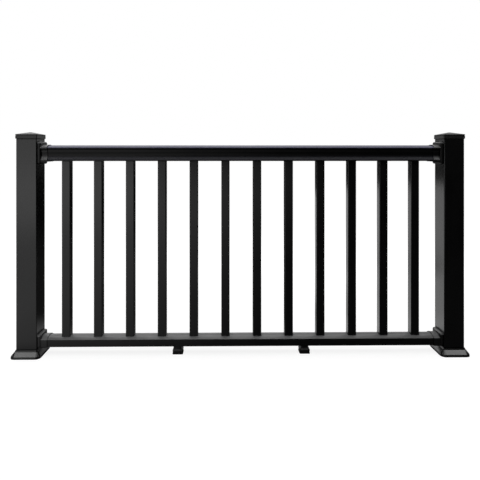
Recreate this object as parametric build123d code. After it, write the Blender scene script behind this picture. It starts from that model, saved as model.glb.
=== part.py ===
from build123d import *
from math import atan, degrees, floor, sqrt
import os

# Vinyl railing section: two sleeved posts with caps and skirts, a moulded top rail,
# a crowned bottom rail, square balusters routed into both rails, four rail brackets
# and two support feet. Millimetres, +Z up, front towards -Y.
# The origin is the centre of the left post's foot, and +X runs to the right post.

# Posts
POST_CENTRES = 1829.0
POST_WIDTH = 87.0
POST_CORNER = 3.5
POST_WALL = 4.0
POST_HEIGHT = 944.0

# Post caps
CAP_WIDTH = 93.0
CAP_CORNER = 4.0
CAP_FASCIA_DROP = 14.0
CAP_FASCIA_EASE = 1.2
CAP_REVEAL_INSET = 1.6
CAP_REVEAL_HEIGHT = 1.8
CAP_EAVE_HEIGHT = 3.0
CAP_PYRAMID_HEIGHT = 9.8
CAP_PEAK_WIDTH = 5.0
CAP_SKIN = 3.0
CAP_CLEARANCE = 0.3

# Post skirts
SKIRT_WIDTH = 127.0
SKIRT_LIP_HEIGHT = 8.0
SKIRT_LIP_EASE = 2.5
SKIRT_SLOPE_HEIGHT = 17.0
SKIRT_NECK_WIDTH = 99.0
SKIRT_NECK_CORNER = 6.0
SKIRT_BEAD_INSET = 1.2
SKIRT_BEAD_HEIGHT = 6.0
SKIRT_BEAD_DRAFT = 2.0
SKIRT_WALL = 3.0
SKIRT_CLEARANCE = 0.3

# Top rail
TOP_RAIL_DROP = 42.0
TOP_RAIL_WALL = 3.0
LIP_WIDTH = 65.0
LIP_HEIGHT = 4.5
WAIST_WIDTH = 50.0
COVE_HEIGHT = 34.5
WAIST_RISE = 21.0
FASCIA_WIDTH = 57.0
FASCIA_HEIGHT = 12.0
CROWN_WIDTH = 68.0
CROWN_RADIUS = 63.0
NOSE_RADIUS = 4.5

# Bottom rail
BOTTOM_RAIL_BOTTOM = 38.0
BOTTOM_RAIL_HEIGHT = 42.0
BOTTOM_RAIL_CROWN = 11.0
BOTTOM_RAIL_WIDTH = 65.0
BOTTOM_RAIL_CORNER = 2.0
BOTTOM_RAIL_WALL = 3.0

# Balusters
BALUSTER_WIDTH = 36.0
BALUSTER_CORNER = 3.0
BALUSTER_WALL = 2.0
BALUSTER_GAP = 101.5
BALUSTER_INSERT = 20.0
BALUSTER_END_CLEARANCE = 20.0
ROUTING_CLEARANCE = 0.3

# Rail brackets
FLANGE_WIDTH = 77.0
FLANGE_THICKNESS = 13.0
FLANGE_CORNER = 8.0
FLANGE_BEVEL = 3.0
TOP_FLANGE_ABOVE = 15.0
TOP_FLANGE_BELOW = 13.0
BOTTOM_FLANGE_ABOVE = 12.0
BOTTOM_FLANGE_BELOW = 4.0
BRACKET_WEB = 5.0
COLLAR_REACH = 40.0
COLLAR_WALL = 2.5
RAIL_CLEARANCE = 0.3
RAIL_END_GAP = 0.3

# Support feet
FOOT_PITCHES_FROM_CENTRE = 2
FOOT_NECK_WIDTH = 35.0
FOOT_NECK_CORNER = 6.0
FOOT_NECK_HEIGHT = 8.0
FOOT_BASE_WIDTH = 46.0
FOOT_BASE_HEIGHT = 21.0
FOOT_WALL = 3.5

# Sizes that follow from the ones above
NOSE_OFFSET = CROWN_WIDTH / 2 - NOSE_RADIUS
CROWN_DROP = sqrt((CROWN_RADIUS - NOSE_RADIUS) ** 2 - NOSE_OFFSET**2)
TOP_RAIL_TOP = POST_HEIGHT - TOP_RAIL_DROP
CROWN_CENTRE = TOP_RAIL_TOP - CROWN_RADIUS
NOSE_HEIGHT = CROWN_CENTRE + CROWN_DROP
COVE_TOP = NOSE_HEIGHT - NOSE_RADIUS - FASCIA_HEIGHT
LIP_TOP = COVE_TOP - COVE_HEIGHT
TOP_RAIL_BOTTOM = LIP_TOP - LIP_HEIGHT
BOTTOM_RAIL_TOP = BOTTOM_RAIL_BOTTOM + BOTTOM_RAIL_HEIGHT
BOTTOM_CROWN_RADIUS = (BOTTOM_RAIL_WIDTH**2 / 4 + BOTTOM_RAIL_CROWN**2) / (2 * BOTTOM_RAIL_CROWN)
BOTTOM_CROWN_CENTRE = BOTTOM_RAIL_TOP - BOTTOM_CROWN_RADIUS
PANEL_CENTRE = POST_CENTRES / 2
LEFT_FACE = POST_WIDTH / 2
RIGHT_FACE = POST_CENTRES - POST_WIDTH / 2
RAIL_START = LEFT_FACE + BRACKET_WEB + RAIL_END_GAP
RAIL_LENGTH = RIGHT_FACE - BRACKET_WEB - RAIL_END_GAP - RAIL_START
BALUSTER_PITCH = BALUSTER_WIDTH + BALUSTER_GAP
BALUSTER_RUN = RIGHT_FACE - LEFT_FACE - 2 * (COLLAR_REACH + BALUSTER_END_CLEARANCE)
BALUSTER_COUNT = floor((BALUSTER_RUN + BALUSTER_GAP) / BALUSTER_PITCH)
BALUSTER_FOOT = BOTTOM_RAIL_BOTTOM + BOTTOM_RAIL_WALL
BALUSTER_LENGTH = TOP_RAIL_BOTTOM + BALUSTER_INSERT - BALUSTER_FOOT
ROUTING_WIDTH = BALUSTER_WIDTH + 2 * ROUTING_CLEARANCE
ROUTING_CORNER = BALUSTER_CORNER + ROUTING_CLEARANCE


def square(width, corner, height):
    """A square section with rounded corners, lying at a height."""
    return Pos(0, 0, height) * RectangleRounded(width, width, corner)


def prism(width, corner, low, high):
    """An upright square bar with rounded corners between two heights."""
    return extrude(square(width, corner, low), high - low)


def cut_square(width, corner, height):
    """A square section whose flat-cut corners touch where a rounding of that radius would run."""
    section = chamfer(Rectangle(width, width).vertices(), (2 - sqrt(2)) * corner)
    return Pos(0, 0, height) * section


def flare(outline, high_width, high_corner, high, low_width, low):
    """A square flare from a narrow top section down to a wider foot, with the outline's corners."""
    spread = (low_width - high_width) / 2
    section = outline(low_width, high_corner + spread, low)
    return extrude(section, high - low, taper=degrees(atan(spread / (high - low))))


def pyramid(low_width, low, high_width, high):
    """A square pyramid with sharp hips and a flat peak."""
    inset = (low_width - high_width) / 2
    far = low_width - inset
    upright = (Align.CENTER, Align.MIN, Align.CENTER)
    slopes = Wedge(low_width, high - low, low_width, inset, inset, far, far, align=upright)
    return Pos(0, 0, low) * Rot(90, 0, 0) * slopes


def post_sleeve():
    """A square extruded sleeve, open at both ends, that slips over a post core."""
    core_width = POST_WIDTH - 2 * POST_WALL
    section = square(POST_WIDTH, POST_CORNER, 0) - Rectangle(core_width, core_width)
    return extrude(section, POST_HEIGHT)


def post_cap():
    """A low pyramid cap: a fascia, a shadow reveal and an eave under four slopes."""
    fascia_top = POST_HEIGHT
    fascia_low = fascia_top - CAP_FASCIA_DROP
    reveal_top = fascia_top + CAP_REVEAL_HEIGHT
    eave_top = reveal_top + CAP_EAVE_HEIGHT
    peak = eave_top + CAP_PYRAMID_HEIGHT
    fascia = prism(CAP_WIDTH, CAP_CORNER, fascia_low, fascia_top)
    fascia = chamfer(fascia.faces().sort_by(Axis.Z)[0].edges(), CAP_FASCIA_EASE)
    reveal = prism(CAP_WIDTH - 2 * CAP_REVEAL_INSET, CAP_CORNER, fascia_top, reveal_top)
    roof = prism(CAP_WIDTH, CAP_CORNER, reveal_top, peak)
    slopes = pyramid(CAP_WIDTH, eave_top, CAP_PEAK_WIDTH, peak)
    eave = prism(CAP_WIDTH, CAP_CORNER, reveal_top, eave_top)
    socket_width = POST_WIDTH + 2 * CAP_CLEARANCE
    socket = prism(socket_width, POST_CORNER + CAP_CLEARANCE, fascia_low, fascia_top)
    hollow_width = POST_WIDTH - 2 * POST_WALL
    hollow = pyramid(hollow_width, fascia_top, CAP_PEAK_WIDTH, peak - CAP_SKIN)
    return fascia + reveal + (eave + slopes & roof) - socket - hollow


def post_skirt():
    """A moulded skirt round the foot of a post: eased lip, slope and a tapered bead at the top."""
    slope_top = SKIRT_LIP_HEIGHT + SKIRT_SLOPE_HEIGHT
    bead_top = slope_top + SKIRT_BEAD_HEIGHT
    lip_corner = SKIRT_NECK_CORNER + (SKIRT_WIDTH - SKIRT_NECK_WIDTH) / 2
    lip = prism(SKIRT_WIDTH, lip_corner, 0, SKIRT_LIP_HEIGHT)
    slope = flare(square, SKIRT_NECK_WIDTH, SKIRT_NECK_CORNER, slope_top, SKIRT_WIDTH, SKIRT_LIP_HEIGHT)
    body = lip + slope
    brow = body.edges().filter_by_position(Axis.Z, SKIRT_LIP_HEIGHT, SKIRT_LIP_HEIGHT)
    body = chamfer(brow, SKIRT_LIP_EASE)
    bead_foot_width = SKIRT_NECK_WIDTH - 2 * SKIRT_BEAD_INSET
    bead_top_width = bead_foot_width - 2 * SKIRT_BEAD_DRAFT
    bead = flare(cut_square, bead_top_width, SKIRT_NECK_CORNER, bead_top, bead_foot_width, slope_top)
    post_hole_width = POST_WIDTH + 2 * SKIRT_CLEARANCE
    post_hole_corner = POST_CORNER + SKIRT_CLEARANCE
    inner_width = SKIRT_WIDTH - 2 * SKIRT_WALL
    inner_top = slope_top - SKIRT_WALL
    hollow = flare(cut_square, post_hole_width, post_hole_corner, inner_top, inner_width, 0)
    post_hole = prism(post_hole_width, post_hole_corner, 0, bead_top)
    return body + bead - hollow - post_hole


def top_rail_section(grow):
    """The moulded rail's outline, pushed out (or drawn in) on every side by grow.

    The crown is a broad arc that rolls into a small nose arc at each side. Both keep
    their centres as the outline grows, and they meet where their tangents agree.
    """
    bottom = TOP_RAIL_BOTTOM - grow
    waist_height = LIP_TOP + WAIST_RISE
    lip = LIP_WIDTH / 2 + grow
    waist = WAIST_WIDTH / 2 + grow
    fascia = FASCIA_WIDTH / 2 + grow
    nose = CROWN_WIDTH / 2 + grow
    reach = (CROWN_RADIUS + grow) / (CROWN_RADIUS - NOSE_RADIUS)
    shoulder = NOSE_OFFSET * reach
    shoulder_height = CROWN_CENTRE + CROWN_DROP * reach
    tuck = max(fascia, NOSE_OFFSET)
    tuck_height = NOSE_HEIGHT - sqrt((NOSE_RADIUS + grow) ** 2 - (tuck - NOSE_OFFSET) ** 2)
    sides = [
        Line((0, bottom), (lip, bottom)),
        Line((lip, bottom), (lip, LIP_TOP)),
        ThreePointArc((lip, LIP_TOP), (waist, waist_height), (fascia, COVE_TOP)),
        Line((fascia, COVE_TOP), (fascia, tuck_height)),
        ThreePointArc((tuck, tuck_height), (nose, NOSE_HEIGHT), (shoulder, shoulder_height)),
    ]
    if fascia < NOSE_OFFSET:
        sides.append(Line((fascia, tuck_height), (tuck, tuck_height)))
    half = Curve() + sides
    top = (0, TOP_RAIL_TOP + grow)
    crown = ThreePointArc((shoulder, shoulder_height), top, (-shoulder, shoulder_height))
    outline = half + crown + mirror(half, Plane.YZ)
    return make_face(outline.edges())


def bottom_rail_section(grow):
    """The crowned rail's outline, pushed out (or drawn in) on every side by grow."""
    bottom = BOTTOM_RAIL_BOTTOM - grow
    side = BOTTOM_RAIL_WIDTH / 2 + grow
    shoulder = BOTTOM_CROWN_CENTRE + sqrt((BOTTOM_CROWN_RADIUS + grow) ** 2 - side**2)
    outline = [
        Line((-side, shoulder), (-side, bottom)),
        Line((-side, bottom), (side, bottom)),
        Line((side, bottom), (side, shoulder)),
        ThreePointArc((side, shoulder), (0, BOTTOM_RAIL_TOP + grow), (-side, shoulder)),
    ]
    section = make_face(outline)
    corner = BOTTOM_RAIL_CORNER + grow
    if corner > 0:
        section = fillet(section.vertices().sort_by(Axis.Y)[:2], corner)
    return section


def along_rail(section, start, length):
    """A cross-section run along the panel from a distance past the left post's centre."""
    return Pos(start, 0, 0) * extrude(Plane.YZ * section, length)


def baluster_places():
    """The distances of the balusters' centre lines from the left post's centre."""
    first = PANEL_CENTRE - (BALUSTER_COUNT - 1) / 2 * BALUSTER_PITCH
    return [first + number * BALUSTER_PITCH for number in range(BALUSTER_COUNT)]


def routed_holes(low, high):
    """The square holes routed through a rail's wall for the balusters."""
    hole = extrude(cut_square(ROUTING_WIDTH, ROUTING_CORNER, low), high - low)
    return [Pos(place, 0, 0) * hole for place in baluster_places()]


def top_rail():
    """A hollow moulded handrail, routed from below."""
    shell = along_rail(top_rail_section(0), RAIL_START, RAIL_LENGTH)
    hollow = along_rail(top_rail_section(-TOP_RAIL_WALL), RAIL_START, RAIL_LENGTH)
    wall_top = TOP_RAIL_BOTTOM + TOP_RAIL_WALL
    return shell - hollow - routed_holes(TOP_RAIL_BOTTOM, wall_top)


def bottom_rail():
    """A hollow crowned rail, routed from above."""
    shell = along_rail(bottom_rail_section(0), RAIL_START, RAIL_LENGTH)
    hollow = along_rail(bottom_rail_section(-BOTTOM_RAIL_WALL), RAIL_START, RAIL_LENGTH)
    return shell - hollow - routed_holes(BALUSTER_FOOT, BOTTOM_RAIL_TOP)


def baluster():
    """A hollow square baluster that stands on the bottom rail's floor."""
    bore_width = BALUSTER_WIDTH - 2 * BALUSTER_WALL
    bore = cut_square(bore_width, BALUSTER_CORNER - BALUSTER_WALL, BALUSTER_FOOT)
    section = square(BALUSTER_WIDTH, BALUSTER_CORNER, BALUSTER_FOOT) - bore
    return extrude(section, BALUSTER_LENGTH)


def rail_bracket(rail_section, low, high):
    """A left-hand bracket: a bevelled flange on the post and a collar round the rail's end."""
    plate = RectangleRounded(FLANGE_WIDTH, high - low, FLANGE_CORNER)
    flange = along_rail(Pos(0, (low + high) / 2) * plate, LEFT_FACE, FLANGE_THICKNESS)
    flange = chamfer(flange.faces().sort_by(Axis.X)[-1].edges(), FLANGE_BEVEL)
    collar = along_rail(rail_section(RAIL_CLEARANCE + COLLAR_WALL), LEFT_FACE, COLLAR_REACH)
    socket_depth = COLLAR_REACH - BRACKET_WEB
    socket = along_rail(rail_section(RAIL_CLEARANCE), LEFT_FACE + BRACKET_WEB, socket_depth)
    return flange + collar - socket


def support_foot():
    """A hollow moulded foot: a narrow neck under the rail flaring to a square base."""
    neck_low = BOTTOM_RAIL_BOTTOM - FOOT_NECK_HEIGHT
    base_corner = FOOT_NECK_CORNER + (FOOT_BASE_WIDTH - FOOT_NECK_WIDTH) / 2
    neck = extrude(cut_square(FOOT_NECK_WIDTH, FOOT_NECK_CORNER, neck_low), FOOT_NECK_HEIGHT)
    shoulder = flare(
        cut_square, FOOT_NECK_WIDTH, FOOT_NECK_CORNER, neck_low, FOOT_BASE_WIDTH, FOOT_BASE_HEIGHT
    )
    base = extrude(cut_square(FOOT_BASE_WIDTH, base_corner, 0), FOOT_BASE_HEIGHT)
    hollow_width = FOOT_BASE_WIDTH - 2 * FOOT_WALL
    hollow = extrude(cut_square(hollow_width, base_corner - FOOT_WALL, 0), FOOT_BASE_HEIGHT)
    return neck + shoulder + base - hollow


def other_end(piece):
    """The mirror image of a left-hand piece at the panel's right-hand end."""
    return mirror(piece, Plane.YZ.offset(PANEL_CENTRE))


def all_pieces():
    """Every piece of the railing section in its place, by name."""
    pieces = {}
    for name, piece in {"post": post_sleeve(), "post_cap": post_cap(), "post_skirt": post_skirt()}.items():
        pieces["left_" + name] = piece
        pieces["right_" + name] = Pos(POST_CENTRES, 0, 0) * piece
    pieces["top_rail"] = top_rail()
    pieces["bottom_rail"] = bottom_rail()
    one_baluster = baluster()
    for number, place in enumerate(baluster_places(), start=1):
        pieces[f"baluster_{number:02d}"] = Pos(place, 0, 0) * one_baluster
    top_bracket = rail_bracket(
        top_rail_section, TOP_RAIL_BOTTOM - TOP_FLANGE_BELOW, TOP_RAIL_TOP + TOP_FLANGE_ABOVE
    )
    bottom_bracket = rail_bracket(
        bottom_rail_section, BOTTOM_RAIL_BOTTOM - BOTTOM_FLANGE_BELOW, BOTTOM_RAIL_TOP + BOTTOM_FLANGE_ABOVE
    )
    for name, bracket in {"top": top_bracket, "bottom": bottom_bracket}.items():
        pieces[name + "_left_bracket"] = bracket
        pieces[name + "_right_bracket"] = other_end(bracket)
    foot = support_foot()
    foot_offset = FOOT_PITCHES_FROM_CENTRE * BALUSTER_PITCH
    pieces["left_support_foot"] = Pos(PANEL_CENTRE - foot_offset, 0, 0) * foot
    pieces["right_support_foot"] = Pos(PANEL_CENTRE + foot_offset, 0, 0) * foot
    return pieces


os.makedirs("parts", exist_ok=True)
for node, piece in all_pieces().items():
    export_step(piece, f"parts/{node}.step")
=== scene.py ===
from math import cos, pi, radians, sin

import bmesh
import bpy
from mathutils import Matrix, Vector


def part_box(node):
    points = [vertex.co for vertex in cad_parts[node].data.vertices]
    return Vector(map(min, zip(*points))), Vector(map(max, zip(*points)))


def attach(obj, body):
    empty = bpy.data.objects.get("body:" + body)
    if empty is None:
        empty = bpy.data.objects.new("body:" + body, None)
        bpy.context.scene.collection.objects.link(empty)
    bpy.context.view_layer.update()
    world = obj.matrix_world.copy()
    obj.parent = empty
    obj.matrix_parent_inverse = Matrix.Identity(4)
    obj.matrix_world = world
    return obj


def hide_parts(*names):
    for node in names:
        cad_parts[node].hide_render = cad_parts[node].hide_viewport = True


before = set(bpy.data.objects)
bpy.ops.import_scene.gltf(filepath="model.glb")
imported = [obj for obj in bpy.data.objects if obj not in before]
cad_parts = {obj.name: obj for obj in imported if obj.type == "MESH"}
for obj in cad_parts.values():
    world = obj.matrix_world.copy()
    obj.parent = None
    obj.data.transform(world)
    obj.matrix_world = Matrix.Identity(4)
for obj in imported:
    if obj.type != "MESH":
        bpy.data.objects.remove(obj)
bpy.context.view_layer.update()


# Posts. Square sleeves of black vinyl, extruded and cut to length, that slip over a core.
# The die leaves faint lines along the sleeve, and the corners are rubbed a little smoother.
# The seams with other pieces are painted black as shade.

def new_group(name, inputs, outputs):
    """An empty shader node group with its named sockets, and its input and output nodes."""
    group = bpy.data.node_groups.new(name, "ShaderNodeTree")
    for label, kind in inputs:
        group.interface.new_socket(label, in_out="INPUT", socket_type=kind)
    for label, kind in outputs:
        group.interface.new_socket(label, in_out="OUTPUT", socket_type=kind)
    return group, group.nodes.new("NodeGroupInput"), group.nodes.new("NodeGroupOutput")


def coordinate(tree, kind):
    """One of the coordinates of a point of the surface, such as its place in the object."""
    return tree.nodes.new("ShaderNodeTexCoord").outputs[kind]


def math_node(tree, operation, first, second=0.0, clamp=False):
    """A Math node whose two inputs are each a socket or a number; returns its output."""
    node = tree.nodes.new("ShaderNodeMath")
    node.operation = operation
    node.use_clamp = clamp
    for socket, value in zip(node.inputs, (first, second)):
        if isinstance(value, (int, float)):
            socket.default_value = value
        else:
            tree.links.new(value, socket)
    return node.outputs[0]


def vector_node(tree, operation, first, second):
    """A Vector Math node on two sockets; returns its outputs."""
    node = tree.nodes.new("ShaderNodeVectorMath")
    node.operation = operation
    tree.links.new(first, node.inputs[0])
    tree.links.new(second, node.inputs[1])
    return node.outputs


def range_node(tree, value, span, results=(0.0, 1.0)):
    """A Map Range node from a span to a range of results, clamped; returns its output."""
    node = tree.nodes.new("ShaderNodeMapRange")
    tree.links.new(value, node.inputs["Value"])
    for label, number in zip(("From Min", "From Max", "To Min", "To Max"), (*span, *results)):
        node.inputs[label].default_value = number
    return node.outputs["Result"]


def noise_node(tree, vector, scale, detail):
    """A noise texture on a vector; returns its 0..1 value."""
    node = tree.nodes.new("ShaderNodeTexNoise")
    tree.links.new(vector, node.inputs["Vector"])
    node.inputs["Scale"].default_value = scale
    node.inputs["Detail"].default_value = detail
    return node.outputs["Fac"]


SOFT_DETAIL = 2.0
FINE_DETAIL = 3.0
DIE_LINE_SCALE = 260.0
DIE_LINE_SHARE = 0.45
DIE_CLOUD_SCALE = 9.0
DIE_CLOUD_SHARE = 0.55
DIE_GRAIN_SCALE = 1400.0
DIE_GRAIN_SHARE = 0.6


def make_die_lines():
    """Lines that an extrusion die draws along a profile, over a cloudy change of tone."""
    group, given, result = new_group(
        "die_lines",
        [("Stretch", "NodeSocketVector")],
        [("Tone", "NodeSocketFloat"), ("Height", "NodeSocketFloat")],
    )
    place = coordinate(group, "Object")
    stretched = vector_node(group, "MULTIPLY", place, given.outputs["Stretch"])["Vector"]
    lines = noise_node(group, stretched, DIE_LINE_SCALE, FINE_DETAIL)
    clouds = noise_node(group, place, DIE_CLOUD_SCALE, SOFT_DETAIL)
    grain = noise_node(group, place, DIE_GRAIN_SCALE, SOFT_DETAIL)
    streaks = math_node(group, "MULTIPLY", lines, DIE_LINE_SHARE)
    cloudy = math_node(group, "MULTIPLY", clouds, DIE_CLOUD_SHARE)
    grainy = math_node(group, "MULTIPLY", grain, DIE_GRAIN_SHARE)
    group.links.new(math_node(group, "ADD", streaks, cloudy), result.inputs["Tone"])
    group.links.new(math_node(group, "ADD", lines, grainy), result.inputs["Height"])
    return group


RUB_SAMPLES = 4
RUB_TURN = (0.995, 0.90)
RUB_PATCH_SCALE = 60.0
RUB_PATCH_SPAN = (0.35, 0.65)
RUB_PATCH_STRENGTH = (0.35, 1.0)


def make_edge_rub():
    """A mask of the outer edges and corners, where handling and cleaning polish a piece."""
    group, given, result = new_group(
        "edge_rub",
        [("Width", "NodeSocketFloat")],
        [("Mask", "NodeSocketFloat")],
    )
    rounded = group.nodes.new("ShaderNodeBevel")
    rounded.samples = RUB_SAMPLES
    group.links.new(given.outputs["Width"], rounded.inputs["Radius"])
    flat = group.nodes.new("ShaderNodeNewGeometry").outputs["Normal"]
    turn = vector_node(group, "DOT_PRODUCT", rounded.outputs["Normal"], flat)["Value"]
    edge = range_node(group, turn, RUB_TURN)
    patches = noise_node(group, coordinate(group, "Object"), RUB_PATCH_SCALE, FINE_DETAIL)
    patchy = range_node(group, patches, RUB_PATCH_SPAN, RUB_PATCH_STRENGTH)
    group.links.new(math_node(group, "MULTIPLY", edge, patchy), result.inputs["Mask"])
    return group


SEAM_SAMPLES = 8
SEAM_OPENNESS = (0.97, 0.76)


def make_corner_shade():
    """A mask of the seams and inside corners, where shade is painted in black."""
    group, given, result = new_group(
        "corner_shade",
        [("Reach", "NodeSocketFloat")],
        [("Mask", "NodeSocketFloat")],
    )
    hollow = group.nodes.new("ShaderNodeAmbientOcclusion")
    hollow.samples = SEAM_SAMPLES
    group.links.new(given.outputs["Reach"], hollow.inputs["Distance"])
    mask = range_node(group, hollow.outputs["AO"], SEAM_OPENNESS)
    group.links.new(mask, result.inputs["Mask"])
    return group


die_lines = make_die_lines()
edge_rub = make_edge_rub()
corner_shade = make_corner_shade()


def place_group(tree, group, values):
    """A placed node group with its own input values; returns its outputs."""
    node = tree.nodes.new("ShaderNodeGroup")
    node.node_tree = group
    for label, value in values.items():
        node.inputs[label].default_value = value
    return node.outputs


def colour_mix(tree, mask, first, second):
    """A colour that goes from first to second by a mask; each is a socket or a colour."""
    node = tree.nodes.new("ShaderNodeMix")
    node.data_type = "RGBA"
    tree.links.new(mask, node.inputs["Factor"])
    for label, value in (("A", first), ("B", second)):
        socket = [s for s in node.inputs if s.name == label and s.type == "RGBA"][0]
        if isinstance(value, tuple):
            socket.default_value = (*value, 1.0)
        else:
            tree.links.new(value, socket)
    return [s for s in node.outputs if s.type == "RGBA"][0]


def bump_node(tree, height, distance, strength):
    """A Bump node; returns its normal."""
    node = tree.nodes.new("ShaderNodeBump")
    tree.links.new(height, node.inputs["Height"])
    node.inputs["Distance"].default_value = distance
    node.inputs["Strength"].default_value = strength
    return node.outputs["Normal"]


def new_material(name):
    """A new node material with its tree and its Principled shader."""
    material = bpy.data.materials.new(name)
    material.use_nodes = True
    return material, material.node_tree, material.node_tree.nodes["Principled BSDF"]


VINYL_IOR = 1.5
# Painted shade: the black that seams and inside corners are mixed to.
SEAM_SHADE_BLACK = (0.002, 0.002, 0.002)
SHEEN_SPAN = (0.3, 0.7)


def satin_vinyl(name, texture, values, skin, roughness, seam):
    """Satin black vinyl over a texture, with rubbed edges and seams painted black as shade.

    The painted seam shade feeds Metallic too, so that the seams give back no light: without it their
    gloss would light them up.
    """
    material, tree, shader = new_material(name)
    pattern = place_group(tree, texture, values)
    rub = place_group(tree, edge_rub, {"Width": skin["rub_width"]})["Mask"]
    # Painted shade: a mask of the seams and inside corners, where light reaches less.
    painted_shade = place_group(tree, corner_shade, {"Reach": seam})["Mask"]
    tone = range_node(tree, pattern["Tone"], skin["tone_span"])
    body = colour_mix(tree, tone, skin["dark"], skin["light"])
    worn = math_node(tree, "MULTIPLY", rub, skin["rub_strength"])
    clean = colour_mix(tree, worn, body, skin["rubbed"])
    # Painted shade: the seams and inside corners go to black.
    tree.links.new(colour_mix(tree, painted_shade, clean, SEAM_SHADE_BLACK), shader.inputs["Base Color"])
    sheen = range_node(tree, pattern["Tone"], SHEEN_SPAN, roughness)
    polish = math_node(tree, "MULTIPLY", rub, skin["rub_polish"])
    polished = math_node(tree, "SUBTRACT", sheen, polish)
    dulling = math_node(tree, "MULTIPLY", painted_shade, skin["seam_dulling"])
    dulled = math_node(tree, "ADD", polished, dulling, clamp=True)
    tree.links.new(dulled, shader.inputs["Roughness"])
    # Painted shade: the same mask makes the seams metallic, so that they mirror no light.
    tree.links.new(painted_shade, shader.inputs["Metallic"])
    relief = bump_node(tree, pattern["Height"], skin["bump_distance"], skin["bump_strength"])
    tree.links.new(relief, shader.inputs["Normal"])
    shader.inputs["IOR"].default_value = VINYL_IOR
    return material


EXTRUDED_SKIN = {
    "dark": (0.0035, 0.0035, 0.0036),
    "light": (0.0055, 0.0055, 0.0056),
    "rubbed": (0.020, 0.020, 0.0202),
    "tone_span": (0.35, 0.65),
    "rub_width": 0.004,
    "rub_strength": 0.6,
    "rub_polish": 0.05,
    "seam_dulling": 0.45,
    "bump_distance": 0.00012,
    "bump_strength": 0.25,
}


def extruded_vinyl(name, stretch, roughness, seam):
    """Satin black vinyl with die lines along the profile."""
    return satin_vinyl(name, die_lines, {"Stretch": stretch}, EXTRUDED_SKIN, roughness, seam)


def dress(nodes, material):
    """Gives CAD nodes a finished material in place of their plain one."""
    for node in nodes:
        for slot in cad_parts[node].material_slots:
            slot.material = material


SIDES = ("left", "right")
UPRIGHT = (1.0, 1.0, 0.012)
WIDE_SEAM = 0.006
POST_ROUGHNESS = (0.17, 0.23)
post_vinyl = extruded_vinyl("post_vinyl", UPRIGHT, POST_ROUGHNESS, WIDE_SEAM)
dress([f"{side}_post" for side in SIDES], post_vinyl)


# Post skirts. Moulded vinyl collars that slide down each sleeve and cover the foot of the post.
# The mould gives them a fine pebbled skin, a little duller than the posts.

MOULD_CLOUD_SCALE = 14.0
MOULD_CLOUD_SHARE = 0.6
PEBBLE_SHARE = 0.4


def make_mould_grain():
    """The fine pebbled skin that an etched mould leaves, over a cloudy change of tone."""
    group, given, result = new_group(
        "mould_grain",
        [("Scale", "NodeSocketFloat")],
        [("Tone", "NodeSocketFloat"), ("Height", "NodeSocketFloat")],
    )
    place = coordinate(group, "Object")
    pebbles = group.nodes.new("ShaderNodeTexVoronoi")
    pebbles.feature = "SMOOTH_F1"
    group.links.new(place, pebbles.inputs["Vector"])
    group.links.new(given.outputs["Scale"], pebbles.inputs["Scale"])
    clouds = noise_node(group, place, MOULD_CLOUD_SCALE, FINE_DETAIL)
    speckle = math_node(group, "MULTIPLY", pebbles.outputs["Distance"], PEBBLE_SHARE)
    cloudy = math_node(group, "MULTIPLY", clouds, MOULD_CLOUD_SHARE)
    group.links.new(math_node(group, "ADD", speckle, cloudy), result.inputs["Tone"])
    group.links.new(pebbles.outputs["Distance"], result.inputs["Height"])
    return group


mould_grain = make_mould_grain()

MOULDED_SKIN = {
    "dark": (0.0050, 0.0049, 0.0049),
    "light": (0.0080, 0.0078, 0.0078),
    "rubbed": (0.030, 0.0295, 0.0295),
    "tone_span": (0.3, 0.7),
    "rub_width": 0.0025,
    "rub_strength": 0.8,
    "rub_polish": 0.06,
    "seam_dulling": 0.2,
    "bump_distance": 0.0001,
    "bump_strength": 0.2,
}
PEBBLE_SCALE = 700.0


def moulded_vinyl(name, roughness, seam):
    """Satin black moulded vinyl with a pebbled skin."""
    return satin_vinyl(name, mould_grain, {"Scale": PEBBLE_SCALE}, MOULDED_SKIN, roughness, seam)


FINE_SEAM = 0.0025
SKIRT_ROUGHNESS = (0.21, 0.28)
skirt_vinyl = moulded_vinyl("skirt_vinyl", SKIRT_ROUGHNESS, FINE_SEAM)
dress([f"{side}_post_skirt" for side in SIDES], skirt_vinyl)


# Rail brackets. Moulded vinyl: a bevelled flange against the post and a collar round the rail.
# The upper pair has a softer skin, and the tops of all four are painted lighter as light from above.
# Screws through the flange hold them to the post.

UPWARD_TILT = (0.0, 0.35)
BELOW_THE_FLOOR = -1.0
LIT_ABOVE_FADE = 0.008


def split(tree, vector):
    """The X, Y and Z outputs of a vector."""
    node = tree.nodes.new("ShaderNodeSeparateXYZ")
    tree.links.new(vector, node.inputs[0])
    return node.outputs


def paint_top_light(material, colour, lit_above=BELOW_THE_FLOOR):
    """Paints light onto a material where its surface faces up, above a height under which it lies in
    shade.
    """
    tree = material.node_tree
    base = tree.nodes["Principled BSDF"].inputs["Base Color"]
    facing = split(tree, coordinate(tree, "Normal"))
    place = split(tree, coordinate(tree, "Object"))
    upward = range_node(tree, facing["Z"], UPWARD_TILT)
    above_the_shade = range_node(tree, place["Z"], (lit_above, lit_above + LIT_ABOVE_FADE))
    # Painted light: upward faces above the given height are mixed towards the colour.
    painted_light = math_node(tree, "MULTIPLY", upward, above_the_shade)
    tree.links.new(colour_mix(tree, painted_light, base.links[0].from_socket, colour), base)


def set_sheen(material, level):
    """Sets how strongly a material's skin mirrors its surroundings."""
    material.node_tree.nodes["Principled BSDF"].inputs["Specular IOR Level"].default_value = level


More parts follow.
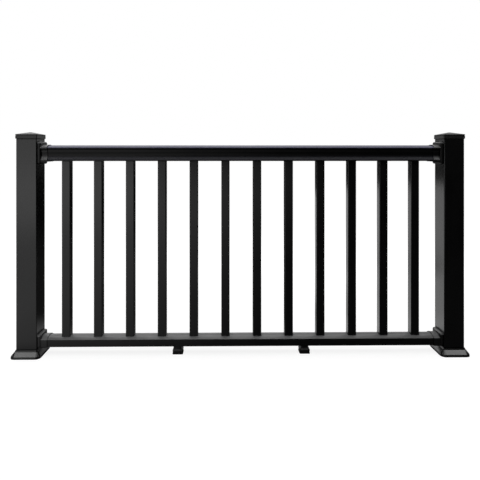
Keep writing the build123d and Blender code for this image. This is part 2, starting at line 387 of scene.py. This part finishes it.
# Painted top light: the grey that the upward faces of the brackets and the bottom rail are mixed to.
PAINTED_TOP_GREY = (0.10, 0.10, 0.101)
SOFT_SHEEN = 0.22
FULL_SHEEN = 0.5
BRACKET_ROUGHNESS = (0.28, 0.36)
for level, sheen in (("top", SOFT_SHEEN), ("bottom", FULL_SHEEN)):
    bracket_vinyl = moulded_vinyl(f"{level}_bracket_vinyl", BRACKET_ROUGHNESS, WIDE_SEAM)
    set_sheen(bracket_vinyl, sheen)
    # Painted top light on the upward faces of the brackets.
    paint_top_light(bracket_vinyl, PAINTED_TOP_GREY)
    dress([f"{level}_{side}_bracket" for side in SIDES], bracket_vinyl)


# Top rail. A hollow moulded handrail, extruded in black vinyl with a soft skin and routed from below.
# Its ends slide into the collars of the upper brackets. The crown has a painted bluish sheen of light
# from above, and the lip, which the crown shades, has a fainter painted one.

ALONG = (0.012, 1.0, 1.0)
# Painted sheen: bluish light on the upward faces of the handrail, fainter on the lip that the crown
# shades.
LIP_PAINTED_SHEEN = (0.014, 0.014, 0.020)
CROWN_PAINTED_SHEEN = (0.056, 0.056, 0.100)
CROWN_BOTTOM = 0.880
HANDRAIL_SHEEN = 0.16
HANDRAIL_ROUGHNESS = (0.28, 0.35)
handrail_vinyl = extruded_vinyl("handrail_vinyl", ALONG, HANDRAIL_ROUGHNESS, FINE_SEAM)
set_sheen(handrail_vinyl, HANDRAIL_SHEEN)
# Painted sheen on the upward faces, fainter on the lip and stronger on the crown above it.
paint_top_light(handrail_vinyl, LIP_PAINTED_SHEEN)
paint_top_light(handrail_vinyl, CROWN_PAINTED_SHEEN, CROWN_BOTTOM)
dress(["top_rail"], handrail_vinyl)


# Bottom rail. A hollow vinyl extrusion with a crowned top that sheds water, routed from above.
# Its skin is a little duller than that of the posts, and its top is painted lighter as light from
# above.

RAIL_SHEEN = 0.4
RAIL_ROUGHNESS = (0.25, 0.31)
rail_vinyl = extruded_vinyl("rail_vinyl", ALONG, RAIL_ROUGHNESS, FINE_SEAM)
set_sheen(rail_vinyl, RAIL_SHEEN)
# Painted top light on the upward faces of the bottom rail.
paint_top_light(rail_vinyl, PAINTED_TOP_GREY)
dress(["bottom_rail"], rail_vinyl)


# Balusters. Square vinyl tubes with eased corners that stand in holes routed in both rails.
# Their thin walls come out of the die with a slightly lower sheen than the posts.

THIN_WALL_SHEEN = 0.44
BALUSTER_ROUGHNESS = (0.19, 0.25)
baluster_vinyl = extruded_vinyl("baluster_vinyl", UPRIGHT, BALUSTER_ROUGHNESS, FINE_SEAM)
set_sheen(baluster_vinyl, THIN_WALL_SHEEN)
balusters = sorted(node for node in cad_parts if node.startswith("baluster_"))
dress(balusters, baluster_vinyl)


# Support feet. Hollow moulded vinyl feet that stand under the bottom rail and keep it from sagging.
# A square neck clips into the rail and flares to a base with a slight waist and a splayed rim.

# Rows from the neck down to the rim and up into the hollow: height, half width, corner radius.
FOOT_PROFILE = [
    (0.0380, 0.0152, 0.0040),
    (0.0270, 0.0152, 0.0040),
    (0.0250, 0.0158, 0.0042),
    (0.0226, 0.0173, 0.0046),
    (0.0200, 0.0194, 0.0050),
    (0.0176, 0.0212, 0.0055),
    (0.0155, 0.0221, 0.0058),
    (0.0133, 0.0224, 0.0060),
    (0.0105, 0.0221, 0.0060),
    (0.0075, 0.0216, 0.0060),
    (0.0047, 0.0217, 0.0060),
    (0.0024, 0.0224, 0.0060),
    (0.0007, 0.0230, 0.0060),
    (0.0000, 0.0227, 0.0058),
    (0.0000, 0.0195, 0.0030),
    (0.0130, 0.0180, 0.0030),
]
CORNER_STEPS = 6
QUARTER_TURN = pi / 2
CREASE = radians(40.0)


def eased_square(half, corner):
    """The points round a square of the given half width whose corners are rounded."""
    points = []
    for x_side, y_side, quarter in ((1, 1, 0), (-1, 1, 1), (-1, -1, 2), (1, -1, 3)):
        x = x_side * (half - corner)
        y = y_side * (half - corner)
        for step in range(CORNER_STEPS + 1):
            angle = (quarter + step / CORNER_STEPS) * QUARTER_TURN
            points.append((x + corner * cos(angle), y + corner * sin(angle)))
    return points


def close_rings(shape, rings):
    """Joins rings of points with bands of faces, closes both ends and turns all faces outwards."""
    for first, second in zip(rings, rings[1:]):
        for k in range(len(first)):
            n = (k + 1) % len(first)
            shape.faces.new((first[k], second[k], second[n], first[n]))
    shape.faces.new(rings[0])
    shape.faces.new(rings[-1])
    bmesh.ops.recalc_face_normals(shape, faces=shape.faces)


def mesh_object(name, shape):
    """Puts a finished shape into the scene as an object."""
    mesh = bpy.data.meshes.new(name)
    shape.to_mesh(mesh)
    shape.free()
    made = bpy.data.objects.new(name, mesh)
    bpy.context.collection.objects.link(made)
    return made


def moulded_foot(name, centre):
    """A foot drawn as rounded squares, one for each row of its profile."""
    shape = bmesh.new()
    rings = []
    for height, half, corner in FOOT_PROFILE:
        outline = eased_square(half, corner)
        rings.append([shape.verts.new((centre.x + x, centre.y + y, height)) for x, y in outline])
    close_rings(shape, rings)
    for face in shape.faces:
        face.smooth = True
    made = mesh_object(name, shape)
    made.data.set_sharp_from_angle(angle=CREASE)
    return made


TRIM_ROUGHNESS = (0.40, 0.50)
trim_vinyl = moulded_vinyl("trim_vinyl", TRIM_ROUGHNESS, WIDE_SEAM)
for side in SIDES:
    low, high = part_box(f"{side}_support_foot")
    foot = moulded_foot(f"{side}_flared_foot", (low + high) / 2)
    foot.data.materials.append(trim_vinyl)
    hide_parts(f"{side}_support_foot")
    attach(foot, "root")


# Post caps. Low pyramids moulded in black vinyl, with an eave and a fascia round the sleeve.
# They are pushed over the top of each post and glued, and have the same dull skin as the feet.

dress([f"{side}_post_cap" for side in SIDES], trim_vinyl)


# Bracket screws. Black coated steel pan heads with a square recess, driven through the corners
# of each flange into the post.

HEAD_RADIUS = 0.0031
HEAD_HEIGHT = 0.0022
HEAD_RIM_SHARE = 0.35
HEAD_FLAT_SHARE = 0.55
HEAD_RINGS = 5
HEAD_SIDES = 24
HEAD_ANGLES = [2 * pi * k / HEAD_SIDES for k in range(HEAD_SIDES)]
RECESS_HALF = 0.0011
RECESS_DEPTH = 0.0014
RECESS_TAPER = 0.85


def circle(radius):
    """The points round a screw head."""
    return [(radius * cos(angle), radius * sin(angle)) for angle in HEAD_ANGLES]


def recess(half):
    """The points round a square recess, at the same angles as those of the head."""
    points = []
    for angle in HEAD_ANGLES:
        reach = half / max(abs(cos(angle)), abs(sin(angle)))
        points.append((reach * cos(angle), reach * sin(angle)))
    return points


def screw_head(name, centre, facing):
    """A domed screw head with a square recess, standing on a face that looks along +X or -X."""
    outlines = [(0.0, circle(HEAD_RADIUS))]
    for step in range(HEAD_RINGS + 1):
        turn = step / HEAD_RINGS * QUARTER_TURN
        radius = HEAD_RADIUS * (HEAD_FLAT_SHARE + (1.0 - HEAD_FLAT_SHARE) * cos(turn))
        height = HEAD_HEIGHT * (HEAD_RIM_SHARE + (1.0 - HEAD_RIM_SHARE) * sin(turn))
        outlines.append((height, circle(radius)))
    outlines.append((HEAD_HEIGHT, recess(RECESS_HALF)))
    outlines.append((HEAD_HEIGHT - RECESS_DEPTH, recess(RECESS_TAPER * RECESS_HALF)))
    shape = bmesh.new()
    rings = [[shape.verts.new((height, y, z)) for y, z in outline] for height, outline in outlines]
    close_rings(shape, rings)
    if facing < 0:
        bmesh.ops.rotate(shape, verts=shape.verts, matrix=Matrix.Rotation(pi, 3, "Z"))
    bmesh.ops.translate(shape, verts=shape.verts, vec=centre)
    return mesh_object(name, shape)


COAT_DARK = (0.012, 0.012, 0.013)
COAT_LIGHT = (0.022, 0.022, 0.023)
COAT_RUBBED = (0.09, 0.09, 0.088)
COAT_GRAIN_SCALE = 1500.0
COAT_RUB_WIDTH = 0.0006
COAT_ROUGHNESS = (0.34, 0.46)
COAT_TONE_SPAN = (0.3, 0.7)
COAT_BUMP_DISTANCE = 0.00005
COAT_BUMP_STRENGTH = 0.2
COAT_METALLIC = 0.3


def coated_steel(name):
    """Black coated steel whose edges are rubbed through to a dull grey."""
    material, tree, shader = new_material(name)
    grain = place_group(tree, mould_grain, {"Scale": COAT_GRAIN_SCALE})
    rub = place_group(tree, edge_rub, {"Width": COAT_RUB_WIDTH})["Mask"]
    tone = range_node(tree, grain["Tone"], COAT_TONE_SPAN)
    coat = colour_mix(tree, tone, COAT_DARK, COAT_LIGHT)
    tree.links.new(colour_mix(tree, rub, coat, COAT_RUBBED), shader.inputs["Base Color"])
    sheen = range_node(tree, grain["Tone"], COAT_TONE_SPAN, COAT_ROUGHNESS)
    tree.links.new(sheen, shader.inputs["Roughness"])
    relief = bump_node(tree, grain["Height"], COAT_BUMP_DISTANCE, COAT_BUMP_STRENGTH)
    tree.links.new(relief, shader.inputs["Normal"])
    shader.inputs["Metallic"].default_value = COAT_METALLIC
    return material


FLANGE_THICKNESS = 0.013
SCREW_PLACES = {
    "top": [(0.029, 0.906), (-0.029, 0.906), (0.029, 0.8276), (-0.029, 0.8276)],
    "bottom": [(0.026, 0.0845), (-0.026, 0.0845)],
}
screw_steel = coated_steel("screw_steel")
for level, side in [(level, side) for level in SCREW_PLACES for side in SIDES]:
    low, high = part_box(f"{level}_{side}_bracket")
    facing = 1 if side == "left" else -1
    face = low.x + FLANGE_THICKNESS if side == "left" else high.x - FLANGE_THICKNESS
    for number, (y, z) in enumerate(SCREW_PLACES[level], start=1):
        screw = screw_head(f"{level}_{side}_screw_{number}", Vector((face, y, z)), facing)
        screw.data.materials.append(screw_steel)
        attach(screw, "root")


# Studio. A white surround, a pale floor and a level camera in front of the panel, with soft boxes
# at the front left, high in front, over each skirt, upright behind the middle and overhead.
# Reflections show the floor and the surround only in places.

BEHIND = (-0.1, 0.4)
ABOVE_HORIZON = (0.0, 0.06)
TO_THE_RIGHT = (0.05, 0.35)
RIGHT_DIMMING = (0.0, 0.65)
HIGH_UP = (0.10, 0.30)
FILL_LIGHT = 0.03
WHITE = (1.0, 1.0, 1.0, 1.0)


def product(tree, first, *others):
    """The product of several sockets and numbers."""
    for other in others:
        first = math_node(tree, "MULTIPLY", first, other)
    return first


def set_world():
    """A surround that is white to look at and in reflections behind the panel, and dim as light."""
    world = bpy.data.worlds.new("surround")
    bpy.context.scene.world = world
    world.use_nodes = True
    tree = world.node_tree
    path = tree.nodes.new("ShaderNodeLightPath").outputs
    direction = split(tree, coordinate(tree, "Generated"))
    behind = range_node(tree, direction["Y"], BEHIND)
    above = range_node(tree, direction["Z"], ABOVE_HORIZON)
    rightward = range_node(tree, direction["X"], TO_THE_RIGHT, RIGHT_DIMMING)
    high = range_node(tree, direction["Z"], HIGH_UP)
    dimmed = math_node(tree, "SUBTRACT", 1.0, product(tree, rightward, high))
    mirrored = product(tree, path["Is Glossy Ray"], behind, above, dimmed)
    seen = math_node(tree, "MAXIMUM", path["Is Camera Ray"], mirrored)
    seen = math_node(tree, "MAXIMUM", seen, path["Is Transmission Ray"])
    back = tree.nodes["Background"]
    back.inputs["Color"].default_value = WHITE
    tree.links.new(math_node(tree, "MAXIMUM", seen, FILL_LIGHT), back.inputs["Strength"])


FADE_OUT = (1.0, 0.0)
FRONT_SLANT = 0.2
FRONT_WIDTH = (1.0, -0.4)
FRONT_GLOW = (0.0, 0.7)
FRONT_EDGE = (0.0, -0.2)


def front_patch(tree, x, y):
    """The floor in front of the panel as reflections show it, bright at the left."""
    slanted = math_node(tree, "ADD", x, math_node(tree, "MULTIPLY", y, FRONT_SLANT))
    lit_left = range_node(tree, slanted, FRONT_WIDTH, FRONT_GLOW)
    return product(tree, lit_left, range_node(tree, y, FRONT_EDGE))


FAN_X = 0.9
FAN_Y = 1.9
FAN_SLOPE = (0.12, 0.30)
FAN_EDGE = (0.05, 0.3)
FAN_END = (1.1, 1.5)


def back_patch(tree, x, y):
    """The floor behind the right half as reflections show it, a fan that narrows to the back."""
    across = math_node(tree, "SUBTRACT", x, FAN_X)
    depth = math_node(tree, "SUBTRACT", FAN_Y, y)
    fan = range_node(tree, math_node(tree, "DIVIDE", across, depth), FAN_SLOPE)
    return product(tree, fan, range_node(tree, y, FAN_EDGE), range_node(tree, y, FAN_END, FADE_OUT))


NEAR_DEPTH = (0.15, 0.45)
NEAR_GLOW = (0.45, 0.0)
NEAR_EDGE = (0.05, 0.15)
LEFT_POST_WIDTH = (0.16, 0.28)
LEFT_POST_GLOW = (1.0, 0.15)
RIGHT_HALF_WIDTH = (0.75, 1.0)


def near_patch(tree, x, y):
    """The floor close behind the panel as reflections show it, by the left post and right half."""
    glow = range_node(tree, y, NEAR_DEPTH, NEAR_GLOW)
    by_left_post = range_node(tree, x, LEFT_POST_WIDTH, LEFT_POST_GLOW)
    by_right_half = range_node(tree, x, RIGHT_HALF_WIDTH)
    places = math_node(tree, "MAXIMUM", by_left_post, by_right_half)
    return product(tree, glow, range_node(tree, y, NEAR_EDGE), places)


PANEL_MIDDLE = 0.91
SHADE_DEPTH = (0.5, 1.5)
SHADE_LENGTH = (1.1, 2.0)
SHADE_STRENGTH = 0.15


def shade(tree, x, y):
    """How far the floor's own white is held back round the panel, so that the shadow shows."""
    off_middle = math_node(tree, "SUBTRACT", x, PANEL_MIDDLE)
    beside = range_node(tree, math_node(tree, "ABSOLUTE", y), SHADE_DEPTH, FADE_OUT)
    along = range_node(tree, math_node(tree, "ABSOLUTE", off_middle), SHADE_LENGTH, FADE_OUT)
    return product(tree, beside, along, SHADE_STRENGTH)


FLOOR_REACH = 30.0
FLOOR_CORNERS = ((-1, -1), (1, -1), (1, 1), (-1, 1))
FLOOR_TONES = (0.04, 0.25)


def lay_floor():
    """A wide white floor that shows the panel's soft shadow."""
    shape = bmesh.new()
    corners = [(FLOOR_REACH * x, FLOOR_REACH * y, 0.0) for x, y in FLOOR_CORNERS]
    shape.faces.new([shape.verts.new(corner) for corner in corners])
    floor = mesh_object("floor", shape)
    material = bpy.data.materials.new("floor_white")
    material.use_nodes = True
    tree = material.node_tree
    tree.nodes.clear()
    path = tree.nodes.new("ShaderNodeLightPath").outputs
    seen = path["Is Camera Ray"]
    matt = tree.nodes.new("ShaderNodeBsdfDiffuse")
    tree.links.new(range_node(tree, seen, (0.0, 1.0), FLOOR_TONES), matt.inputs["Color"])
    place = split(tree, tree.nodes.new("ShaderNodeNewGeometry").outputs["Position"])
    x, y = place["X"], place["Y"]
    behind = math_node(tree, "ADD", back_patch(tree, x, y), near_patch(tree, x, y))
    patches = math_node(tree, "ADD", front_patch(tree, x, y), behind)
    mirrored = product(tree, patches, path["Is Glossy Ray"])
    white = product(tree, seen, math_node(tree, "SUBTRACT", 1.0, shade(tree, x, y)))
    glow = tree.nodes.new("ShaderNodeEmission")
    tree.links.new(math_node(tree, "ADD", white, mirrored), glow.inputs["Strength"])
    both = tree.nodes.new("ShaderNodeAddShader")
    tree.links.new(matt.outputs[0], both.inputs[0])
    tree.links.new(glow.outputs[0], both.inputs[1])
    out = tree.nodes.new("ShaderNodeOutputMaterial")
    tree.links.new(both.outputs[0], out.inputs["Surface"])
    floor.data.materials.append(material)


def soft_box(name, place, target, width, height, power, spread):
    """A rectangular studio lamp with a grid, aimed at a target, which the camera doesn't see."""
    data = bpy.data.lights.new(name, "AREA")
    data.shape = "RECTANGLE"
    data.size = width
    data.size_y = height
    data.energy = power
    data.spread = radians(spread)
    lamp = bpy.data.objects.new(name, data)
    bpy.context.collection.objects.link(lamp)
    lamp.location = place
    lamp.rotation_euler = (Vector(target) - Vector(place)).to_track_quat("-Z", "Y").to_euler()
    lamp.visible_camera = False


set_world()
lay_floor()
soft_box(
    "front_left_box", place=(-1.6, -2.8, 1.3), target=(-0.6, 0.0, 0.7),
    width=3.4, height=2.6, power=5.6, spread=80.0,
)
soft_box(
    "front_top_strip", place=(0.9, -1.8, 2.6), target=(0.9, 0.0, 0.1),
    width=6.4, height=0.9, power=12.0, spread=90.0,
)
soft_box(
    "left_foot_box", place=(-1.22, -1.88, 2.62), target=(0.0, -0.05, 0.02),
    width=1.0, height=0.9, power=0.5, spread=40.0,
)
soft_box(
    "right_foot_box", place=(3.36, -1.9, 2.62), target=(1.829, -0.05, 0.02),
    width=1.0, height=0.9, power=0.5, spread=40.0,
)
soft_box(
    "inner_face_box", place=(1.1, 1.5, 0.315), target=(2.0, 1.5, 0.315),
    width=2.4, height=0.63, power=4.4, spread=180.0,
)
soft_box(
    "top_box", place=(0.9, 0.55, 2.8), target=(0.9, 0.15, 0.3),
    width=5.6, height=3.2, power=50.0, spread=120.0,
)

view = bpy.data.cameras.new("camera")
view.sensor_width = 36.0
view.lens = 32.87
view.shift_x = 0.0165
view.shift_y = -0.185
view.clip_end = 200.0
camera = bpy.data.objects.new("camera", view)
camera.location = (0.8517, -1.9146, 0.8763)
camera.rotation_euler = (radians(90.0), 0.0, -0.012)
bpy.context.collection.objects.link(camera)
bpy.context.scene.camera = camera
bpy.context.scene.view_settings.view_transform = "Standard"
